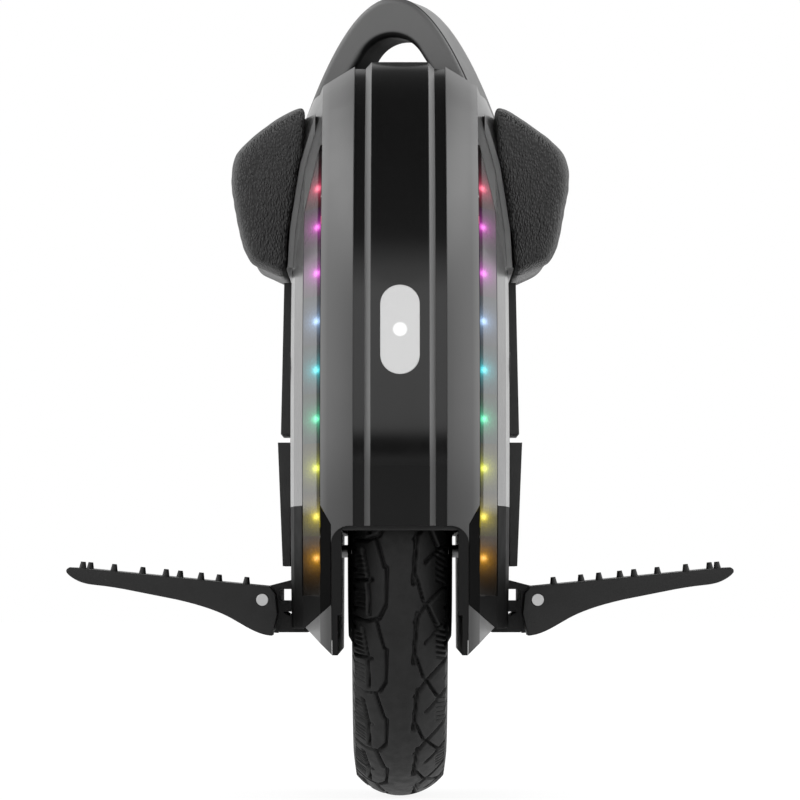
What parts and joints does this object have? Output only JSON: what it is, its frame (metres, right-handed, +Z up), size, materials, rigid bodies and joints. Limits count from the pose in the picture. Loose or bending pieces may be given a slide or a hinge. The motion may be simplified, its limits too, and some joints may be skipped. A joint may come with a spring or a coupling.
{
  "type": "electric unicycle",
  "caption": "Electric unicycle: fat tyre with a hub motor in a tall narrow body, folding studded pedals, knee pads, lamp, coloured side lights and a carrying handle.",
  "frame": {"origin": "on the ground straight below the axle, midway across the tyre", "axes": "+Z up, the front with the white lamp faces -Y, +X to the rider's left along the axle"},
  "size_m": [0.472, 0.416, 0.58],
  "materials": {
    "gloss_black": "gloss",
    "satin_grey": "satin",
    "matte_black": "matte",
    "lamp_lens": "satin",
    "tail_lens": "satin",
    "smoked_window": "gloss",
    "lamp": "gloss",
    "circuit_board": "satin",
    "cast_black": "satin",
    "steel": "satin",
    "motor_grey": "satin",
    "core_steel": "matte",
    "copper": "satin",
    "leather_black": "grained",
    "tyre_rubber": "matte",
    "tube_rubber": "matte",
    "brass": "satin",
    "battery_wrap": "satin",
    "capacitor_can": "satin",
    "button_grey": "satin"
  },
  "bodies": {
    "chassis": {"front_panel": "gloss_black", "rear_panel": "gloss_black", "left_boot": "gloss_black", "right_boot": "gloss_black", "button_bezel": "gloss_black", "front_shell": "satin_grey", "rear_shell": "satin_grey", "handle": "satin_grey", "left_side_cover": "satin_grey", "right_side_cover": "satin_grey", "top_deck": "matte_black", "side_strips": "matte_black", "pedal_bumpers": "matte_black", "wheel_fender": "matte_black", "charge_socket": "matte_black", "side_plugs": "matte_black", "pad_backings": "matte_black", "lamp_housings": "matte_black", "headlight_lens": "lamp_lens", "tail_light_lens": "tail_lens", "front_light_windows": "smoked_window", "rear_light_windows": "smoked_window", "headlight_emitter": "lamp", "tail_light_emitter": "lamp", "front_light_lamps": "lamp", "rear_light_lamps": "lamp", "light_boards": "circuit_board", "controller_board": "circuit_board", "pedal_hangers": "cast_black", "left_chassis_plate": "cast_black", "right_chassis_plate": "cast_black", "handle_brackets": "cast_black", "axle": "steel", "axle_nuts": "steel", "hanger_bolts": "steel", "handle_bolts": "steel", "pedal_pins": "steel", "charge_cap_pin": "steel", "heat_sink": "motor_grey", "stator_carrier": "motor_grey", "stator_core": "core_steel", "stator_windings": "copper", "left_knee_pad": "leather_black", "right_knee_pad": "leather_black", "battery_packs": "battery_wrap", "capacitors": "capacitor_can"},
    "wheel": {"tyre": "tyre_rubber", "inner_tube": "tube_rubber", "wheel_rim": "motor_grey", "rotor_magnets": "core_steel", "motor_covers": "motor_grey", "wheel_bearings": "steel", "cover_screws": "steel", "valve_stem": "brass"},
    "left_pedal": {"left_pedal": "cast_black", "left_pedal_studs": "steel"},
    "right_pedal": {"right_pedal": "cast_black", "right_pedal_studs": "steel"},
    "power_button": {"power_button": "button_grey"},
    "charge_cap": {"charge_cap": "matte_black"}
  },
  "joints": [
    {"name": "wheel_spin", "type": "hinge", "parent": "chassis", "child": "wheel", "pos_m": [0, 0, 0.178], "axis": [1, 0, 0], "continuous": true},
    {"name": "left_pedal_fold", "type": "hinge", "parent": "chassis", "child": "left_pedal", "pos_m": [0.0974, 0, 0.143], "axis": [0, -1, 0], "range_deg": [0, 75]},
    {"name": "right_pedal_fold", "type": "hinge", "parent": "chassis", "child": "right_pedal", "pos_m": [-0.0974, 0, 0.143], "axis": [0, 1, 0], "range_deg": [0, 75]},
    {"name": "power_button_press", "type": "slide", "parent": "chassis", "child": "power_button", "axis": [0, 0, -1], "range_m": [0, 0.0015], "stiffness_N_per_m": 400},
    {"name": "charge_cap_hinge", "type": "hinge", "parent": "chassis", "child": "charge_cap", "pos_m": [0.0155, 0.027, 0.50805], "axis": [0, -1, 0], "range_deg": [0, 110]}
  ]
}
